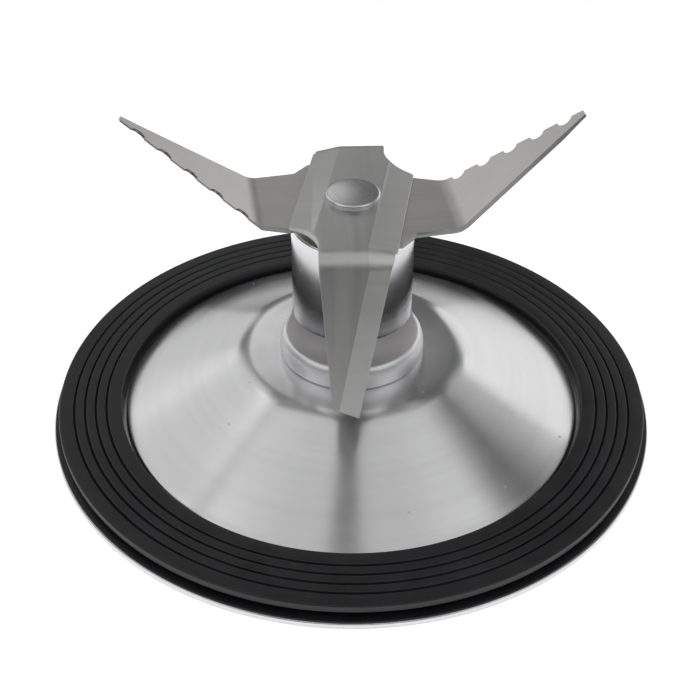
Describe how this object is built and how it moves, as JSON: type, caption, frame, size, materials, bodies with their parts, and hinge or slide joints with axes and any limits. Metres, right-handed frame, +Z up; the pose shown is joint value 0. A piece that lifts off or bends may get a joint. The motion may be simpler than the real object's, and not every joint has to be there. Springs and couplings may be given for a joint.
{
  "type": "ice crushing blade",
  "caption": "Blender blade base: a stacked pair of bent steel blades, one serrated, on a bearing housing in a conical dish with a grooved rubber rim gasket.",
  "frame": {"origin": "centre of the rim flange's underside", "axes": "+Z up along the spin axis, +X towards the right-hand rising blade wing, -Y towards the viewer of the picture"},
  "size_m": [0.0796, 0.0796, 0.0431],
  "materials": {
    "dish_steel": "satin polished sheet steel",
    "gasket_rubber": "matte black rubber",
    "housing_steel": "polished turned steel",
    "blade_steel": "matte stamped steel with ground edges",
    "shaft_steel": "ground steel",
    "plated_steel": "plated steel",
    "bush_bronze": "sintered bronze",
    "oil_felt": "oiled felt",
    "seal_rubber": "black rubber",
    "fibre_sheet": "red-brown fibre sheet"
  },
  "bodies": {
    "base": {"base_dish": "dish_steel", "rim_gasket": "gasket_rubber", "bearing_housing": "housing_steel", "housing_seal": "seal_rubber", "lock_washer": "plated_steel", "lock_nut": "plated_steel", "lower_bush": "bush_bronze", "oil_felt": "oil_felt", "upper_bush": "bush_bronze", "shaft_seal": "seal_rubber", "upper_washer": "fibre_sheet"},
    "rotor": {"drive_shaft": "shaft_steel", "blade_spacer": "shaft_steel", "lower_blade": "blade_steel", "upper_blade": "blade_steel", "thrust_washer": "plated_steel", "retaining_clip": "plated_steel", "drive_coupling": "plated_steel"}
  },
  "joints": [
    {"name": "blade_spin", "type": "hinge", "parent": "base", "child": "rotor", "pos_m": [0, 0, 0.02], "axis": [0, 0, 1], "continuous": true}
  ]
}
